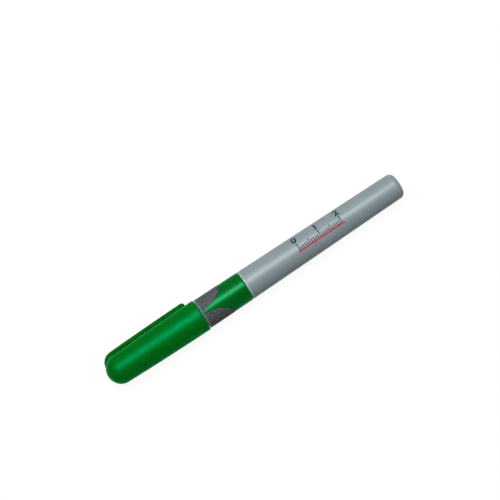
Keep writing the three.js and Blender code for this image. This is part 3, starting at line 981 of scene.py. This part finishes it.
# %% Turn the barrel
BARREL_WALL = 0.9
BEAD_WIDTH = 0.7
BEAD_PROUD = 0.1
BEAD_SUNK = 0.25  # how far the bead's middle lies under the barrel's skin
END_WALL = 1.2
REAR_FACE_RADIUS = 3.8
REAR_ROUND_LENGTH = 2.2
BESIDE_ROUND = 0.2  # the even rows of points keep this far from a round
FRONT_CHAMFER = 0.1
FACE_INSET = 0.15  # a point this far inside the rear face keeps it flat


def barrel_outline():
    round_x = MOUTH_TO_REAR_FACE - REAR_ROUND_LENGTH
    rise = barrel_radius(round_x) - REAR_FACE_RADIUS
    bead_x = BARREL_FRONT + BEAD_WIDTH / 2
    bead_low = barrel_radius(bead_x) - BEAD_SUNK
    floor_x = MOUTH_TO_REAR_FACE - END_WALL

    def bore(x):
        return barrel_radius(x) - BARREL_WALL

    return [
        (BARREL_FRONT, bore(BARREL_FRONT) + FRONT_CHAMFER),
        *arc(bead_x, bead_low, -BEAD_WIDTH / 2, BEAD_PROUD + BEAD_SUNK, 0, 135, 12),
        *stretch(barrel_radius, bead_x + BEAD_WIDTH, round_x - BESIDE_ROUND, 24),
        *arc(round_x, REAR_FACE_RADIUS, REAR_ROUND_LENGTH, rise, 90, 0, 20),
        (MOUTH_TO_REAR_FACE, REAR_FACE_RADIUS - FACE_INSET),
        (MOUTH_TO_REAR_FACE, 0.0),
        (floor_x, 0.0),
        (floor_x, REAR_FACE_RADIUS - BARREL_WALL),
        *stretch(bore, round_x, BARREL_FRONT + BESIDE_ROUND, 6),
    ]


barrel = make_mesh("barrel_moulding", *turned(barrel_outline()), pen_place)
file_piece(barrel, satin_grey, "pen", "barrel")

# %% [markdown]
# ## Printed scale
#
# The barrel carries a plain scale of two centimetres, pad-printed: black strokes and numerals over a red
# line. It could be a colour in the barrel's material, but that has no edge of ink. So the print is a very
# thin piece. The strokes repeat, and Geometry Nodes make them: a point for each millimetre, a thin block
# on each, longer at every fifth and tenth. The same tree then bends everything round the barrel: what
# lies at (x, y) on the flat drawing goes to x along the axis and y along the surface. Its arithmetic is a
# table, each row a result's name, an operation and the values or earlier results that go in.

# %% Geometry Nodes: the tree that prints on the barrel
PRINT_FILM = 0.03  # thickness of the ink's coat; half of it is sunk into the plastic
PRINT_ANGLE = radians(-12)  # where the drawing's y = 0 lies, from the top of the pen
PRINT_SUMS = (
    ("past five", "MODULO", "Index", 5),
    ("is fifth", "COMPARE", "past five", 0, 0.1),
    ("longer", "MULTIPLY_ADD", "is fifth", "Fifth longer", "Length"),
    ("past ten", "MODULO", "Index", 10),
    ("is tenth", "COMPARE", "past ten", 0, 0.1),
    ("longest", "MULTIPLY_ADD", "is tenth", "Tenth longer", "longer"),
    ("place", "MULTIPLY_ADD", "Index", "Pitch", "First"),
    ("fall", "MULTIPLY", "X", "Taper"),
    ("radius", "SUBTRACT", "Front radius", "fall"),
    ("turn", "DIVIDE", "Y", "radius"),
    ("angle", "ADD", "turn", "Angle"),
    ("height", "ADD", "radius", "Z"),
    ("sine", "SINE", "angle"),
    ("cosine", "COSINE", "angle"),
    ("bent y", "MULTIPLY", "height", "sine"),
    ("bent z", "MULTIPLY", "height", "cosine"),
)


def print_tree(name, count, first, base, width, lengths, material):
    tree, sizes, result = geometry_tree(
        name,
        {
            "Count": ("NodeSocketInt", count),
            "First": ("NodeSocketFloat", first),
            "Base": ("NodeSocketFloat", base),
            "Pitch": ("NodeSocketFloat", 1.0),
            "Width": ("NodeSocketFloat", width),
            "Length": ("NodeSocketFloat", lengths[0]),
            "Fifth longer": ("NodeSocketFloat", lengths[1] - lengths[0]),
            "Tenth longer": ("NodeSocketFloat", lengths[2] - lengths[1]),
            "Film": ("NodeSocketFloat", PRINT_FILM),
            "Angle": ("NodeSocketFloat", PRINT_ANGLE),
            "Front radius": ("NodeSocketFloat", barrel_radius(0)),
            "Taper": ("NodeSocketFloat", barrel_radius(0) - barrel_radius(1)),
        },
    )
    flat = add_node(tree, "GeometryNodeInputPosition").outputs["Position"]
    flat = add_node(tree, "ShaderNodeSeparateXYZ", inputs={0: flat})
    known = {socket.name: socket for node in (sizes, flat) for socket in node.outputs}
    known["Index"] = add_node(tree, "GeometryNodeInputIndex").outputs["Index"]
    for result_name, operation, *values in PRINT_SUMS:
        inputs = {i: known.get(value, value) for i, value in enumerate(values)}
        sum_node = add_node(tree, "ShaderNodeMath", {"operation": operation}, inputs)
        known[result_name] = sum_node.outputs["Value"]

    place = add_node(tree, "ShaderNodeCombineXYZ", inputs={"X": known["place"], "Y": known["Base"]})
    inputs = {"Count": known["Count"], "Position": place.outputs["Vector"]}
    points = add_node(tree, "GeometryNodePoints", inputs=inputs)
    block = add_node(tree, "GeometryNodeMeshCube", inputs={"Size": (1, 1, 1), "Vertices Y": 8})
    inputs = {"Geometry": block.outputs["Mesh"], "Translation": (0, 0.5, 0)}
    raised = add_node(tree, "GeometryNodeTransform", inputs=inputs)
    inputs = {"X": known["Width"], "Y": known["longest"], "Z": known["Film"]}
    scale = add_node(tree, "ShaderNodeCombineXYZ", inputs=inputs)
    inputs = {
        "Points": points.outputs["Points"],
        "Instance": raised.outputs["Geometry"],
        "Scale": scale.outputs["Vector"],
    }
    strokes = add_node(tree, "GeometryNodeInstanceOnPoints", inputs=inputs)
    drawing = add_node(tree, "GeometryNodeJoinGeometry")
    tree.links.new(strokes.outputs["Instances"], drawing.inputs[0])
    tree.links.new(known["Geometry"], drawing.inputs[0])
    real = add_node(tree, "GeometryNodeRealizeInstances", inputs={"Geometry": drawing.outputs["Geometry"]})
    inputs = {"X": known["X"], "Y": known["bent y"], "Z": known["bent z"]}
    bent = add_node(tree, "ShaderNodeCombineXYZ", inputs=inputs)
    inputs = {"Geometry": real.outputs["Geometry"], "Position": bent.outputs["Vector"]}
    wrapped = add_node(tree, "GeometryNodeSetPosition", inputs=inputs)
    inputs = {"Geometry": wrapped.outputs["Geometry"], "Material": material}
    inked = add_node(tree, "GeometryNodeSetMaterial", inputs=inputs)
    tree.links.new(inked.outputs["Geometry"], result.inputs["Geometry"])
    return tree


print("sums in the print's tree:", len(PRINT_SUMS))

# %% [markdown]
# The numerals start as text, made a mesh and cut into thin slices, so that they can bend with the rest.
# Left whole, their long straight edges would cut through the round barrel.

# %% Numerals and the printed pieces
SCALE_START = 46.0
SCALE_LENGTH = 20
LINE_WIDTH = 0.6
LINE_OVERHANG = 1.0  # how far the red line runs on past the scale, at both ends
STROKE_BASE = 0.7
STROKE_WIDTH = 0.45
STROKE_LENGTHS = (1.5, 2.2, 3.0)
NUMERAL_HEIGHT = 3.2
NUMERAL_BASE = 4.2
NUMERAL_BOLD = 0.09
SLICE = 0.25


def numeral(digit, x):
    """The numeral as a flat mesh in millimetres, centred on x and standing on NUMERAL_BASE."""
    text = bpy.data.curves.new("numeral", "FONT")
    text.body = str(digit)
    text.extrude = PRINT_FILM / 2
    text.offset = NUMERAL_BOLD / NUMERAL_HEIGHT
    text.resolution_u = 6
    shown = bpy.data.objects.new("numeral", text)
    bpy.context.scene.collection.objects.link(shown)
    mesh = bpy.data.meshes.new_from_object(shown.evaluated_get(bpy.context.evaluated_depsgraph_get()))
    bpy.data.objects.remove(shown)
    low, high = [[pick(v.co[axis] for v in mesh.vertices) for axis in (0, 1)] for pick in (min, max)]
    grow = NUMERAL_HEIGHT / (high[1] - low[1])
    for vertex in mesh.vertices:
        vertex.co.x = x + (vertex.co.x - (low[0] + high[0]) / 2) * grow
        vertex.co.y = NUMERAL_BASE + (vertex.co.y - low[1]) * grow
    return mesh


def numeral_row():
    """All the numerals as one sliced mesh."""
    build = bmesh.new()
    for digit in range(SCALE_LENGTH // 10 + 1):
        build.from_mesh(numeral(digit, SCALE_START + 10 * digit))
    bmesh.ops.remove_doubles(build, verts=build.verts, dist=MERGE)
    for k in range(1, round(NUMERAL_HEIGHT / SLICE)):
        everything = build.verts[:] + build.edges[:] + build.faces[:]
        height = (0, NUMERAL_BASE + k * SLICE, 0)
        bmesh.ops.bisect_plane(build, geom=everything, plane_co=height, plane_no=(0, 1, 0))
    row = bpy.data.objects.new("numeral_row", bpy.data.meshes.new("numeral_row"))
    build.to_mesh(row.data)
    build.free()
    bpy.context.scene.collection.objects.link(row)
    return row


black = ("printed_strokes", SCALE_LENGTH + 1, SCALE_START, STROKE_BASE, STROKE_WIDTH, STROKE_LENGTHS)
scale_tree = print_tree(*black, black_print)
scale_print = grown("black_scale_print", scale_tree, black_print, pen_place, numeral_row())
file_piece(scale_print, black_print, "pen")

line_middle = SCALE_START + SCALE_LENGTH / 2
line_length = SCALE_LENGTH + 2 * LINE_OVERHANG
red = ("printed_line", 1, line_middle, 0.0, line_length, (LINE_WIDTH,) * 3)
line_print = grown("red_line_print", print_tree(*red, red_print), red_print, pen_place)
file_piece(line_print, red_print, "pen")

# %% [markdown]
# ## Reservoir
#
# The reservoir is a bundle of soaked fibre in a sleeve of thin film, and it lies shut inside the barrel.
# Nothing shows of it, so its CAD solids stay as they are and get their materials.

# %% Finish the reservoir's nodes
for node_name, material in {"reservoir_core": core_fibre, "reservoir_wrap": clear_film}.items():
    node = frame["nodes"][node_name]
    node.data.materials.clear()
    node.data.materials.append(material)
print("reservoir nodes finished")

# %% [markdown]
# ## Floor and world
#
# The marker lies on a white sheet in a plain studio. Enough light to turn the sheet white would bleach the
# marker. So the floor and the world show white to the camera and in reflections through Light Path, and
# no extra light is needed on the marker. The floor keeps a little of its real shading, for the shadow.

# %% Floor and world
FLOOR_SIZE = 4.0
FLOOR_SHADE = 0.09  # how much of its real shading the floor shows to the camera
FLOOR_GLOW = 1.035  # the rest of what it shows, so that the open floor comes out white
WORLD_LIGHT = 0.05


def seen_directly(tree):
    """1 for a ray that shows the background: straight from the camera, mirrored or passed through."""
    ray = add_node(tree, "ShaderNodeLightPath").outputs
    inputs = {0: ray["Is Camera Ray"], 1: ray["Is Glossy Ray"]}
    shown = add_node(tree, "ShaderNodeMath", {"operation": "MAXIMUM"}, inputs).outputs[0]
    inputs = {0: shown, 1: ray["Is Transmission Ray"]}
    return add_node(tree, "ShaderNodeMath", {"operation": "MAXIMUM"}, inputs).outputs[0]


def white_floor():
    material, tree, _ = new_material("white_paper_floor")
    tree.nodes.clear()
    paper = add_node(tree, "ShaderNodeBsdfDiffuse", inputs={"Color": linear("#d8dad0")})
    glow = add_node(tree, "ShaderNodeEmission", inputs={"Color": linear("#ffffff"), "Strength": FLOOR_GLOW})
    inputs = {0: seen_directly(tree), 1: 1 - FLOOR_SHADE}
    lift = add_node(tree, "ShaderNodeMath", {"operation": "MULTIPLY"}, inputs).outputs[0]
    inputs = {0: lift, 1: paper.outputs["BSDF"], 2: glow.outputs["Emission"]}
    sheet = add_node(tree, "ShaderNodeMixShader", inputs=inputs)
    add_node(tree, "ShaderNodeOutputMaterial", inputs={"Surface": sheet.outputs["Shader"]})
    return material


def white_world():
    world = bpy.data.worlds.new("studio")
    world.use_nodes = True
    tree = world.node_tree
    tree.nodes.clear()
    inputs = {"Value": seen_directly(tree), "To Min": WORLD_LIGHT, "To Max": 1.0}
    level = add_node(tree, "ShaderNodeMapRange", inputs=inputs).outputs["Result"]
    sky = add_node(tree, "ShaderNodeBackground", inputs={"Color": linear("#ffffff"), "Strength": level})
    add_node(tree, "ShaderNodeOutputWorld", inputs={"Surface": sky.outputs["Background"]})
    return world


half_floor = FLOOR_SIZE / 2
floor_corners = [(-half_floor, -half_floor, 0), (half_floor, -half_floor, 0)]
floor_corners += [(half_floor, half_floor, 0), (-half_floor, half_floor, 0)]
floor_mesh = bpy.data.meshes.new("floor")
floor_mesh.from_pydata(floor_corners, [], [(0, 1, 2, 3)])
floor_mesh.materials.append(white_floor())
floor = bpy.data.objects.new("floor", floor_mesh)
bpy.context.scene.collection.objects.link(floor)
bpy.context.scene.world = white_world()
bpy.context.scene.view_settings.view_transform = "Standard"
print("floor and world ready")

# %% [markdown]
# ## Camera
#
# The camera looks almost straight down. Its azimuth puts the marker's axis at the photograph's slant, and
# its distance gives the photograph's width at the marker. It aims a little past the marker's middle,
# because the photograph isn't centred on it.

# %% Camera
AZIMUTH = radians(-33.82)
ELEVATION = radians(84)
LENS = 85.0
SENSOR = 36.0
PHOTO_WIDTH = 500
PHOTO_CENTRE = 250
SHOWN_WIDTH = 198.2 * MM  # what the photograph's width spans at the marker
MARKER_X = 254.5  # the middle of the marker's axis in the photograph
MARKER_Y = 279.5

back = Vector((sin(AZIMUTH) * cos(ELEVATION), -cos(AZIMUTH) * cos(ELEVATION), sin(ELEVATION)))
right = Vector((cos(AZIMUTH), sin(AZIMUTH), 0))
up = back.cross(right)
pixel = SHOWN_WIDTH / PHOTO_WIDTH
middle = mouth + along * (MOUTH_TO_REAR_FACE - CAP_LENGTH) / 2 * MM
aim = middle - right * (MARKER_X - PHOTO_CENTRE) * pixel + up * (MARKER_Y - PHOTO_CENTRE) * pixel
camera_data = bpy.data.cameras.new("camera")
camera_data.lens = LENS
camera_data.sensor_width = SENSOR
camera = bpy.data.objects.new("camera", camera_data)
camera.location = aim + back * SHOWN_WIDTH * LENS / SENSOR
camera.rotation_mode = "QUATERNION"
camera.rotation_quaternion = (-back).to_track_quat("-Z", "Y")
bpy.context.scene.collection.objects.link(camera)
bpy.context.scene.camera = camera
print("camera at", [round(c, 3) for c in camera.location])

# %% [markdown]
# ## Softboxes
#
# A softbox hangs over the marker, a little towards the clip's side, where the photograph's highlights lie.
# Along the marker it leans the other way from the camera, as a mirror on the marker's back would send the
# view, so the highlight is equally bright from the cap to the barrel's end. It has a twin in the same
# place that lights only the gloss: in a reflection a softbox's face is far brighter than the white room,
# while the colours keep their plain light. A weak softbox farther round on the clip's side lifts that
# flank. A sun lamp would be simpler, but its highlight is one thin streak.

# %% Softboxes
SOFTBOX_DISTANCE = 0.9
KEY_ANGLE = radians(21.8)  # from the mirrored view towards the clip's side
KEY_SIZE = (0.7, 0.36)  # along the marker and across it
KEY_POWER = 9.25
GLINT_POWER = 18.5  # the twin that lights only the gloss
FILL_ANGLE = radians(60)  # measured in the same way
FILL_SIZE = (0.7, 0.5)
FILL_POWER = 1.0


def softbox(name, direction, size, power):
    data = bpy.data.lights.new(name, "AREA")
    data.shape = "RECTANGLE"
    data.size, data.size_y = size
    data.energy = power
    lamp = bpy.data.objects.new(name, data)
    towards = direction.normalized()
    lamp.location = middle + towards * SOFTBOX_DISTANCE
    lamp.rotation_mode = "QUATERNION"
    lamp.rotation_quaternion = (-towards).to_track_quat("-Z", "Y")
    bpy.context.scene.collection.objects.link(lamp)
    return lamp


mirrored = Vector((-back.x, back.y, back.z))
clip_side = Vector((0, 1, 0))
key_direction = mirrored * cos(KEY_ANGLE) + clip_side * sin(KEY_ANGLE)
softbox("key_softbox", key_direction, KEY_SIZE, KEY_POWER)
softbox("glint_softbox", key_direction, KEY_SIZE, GLINT_POWER).visible_diffuse = False
fill_direction = mirrored * cos(FILL_ANGLE) + clip_side * sin(FILL_ANGLE)
softbox("fill_softbox", fill_direction, FILL_SIZE, FILL_POWER)
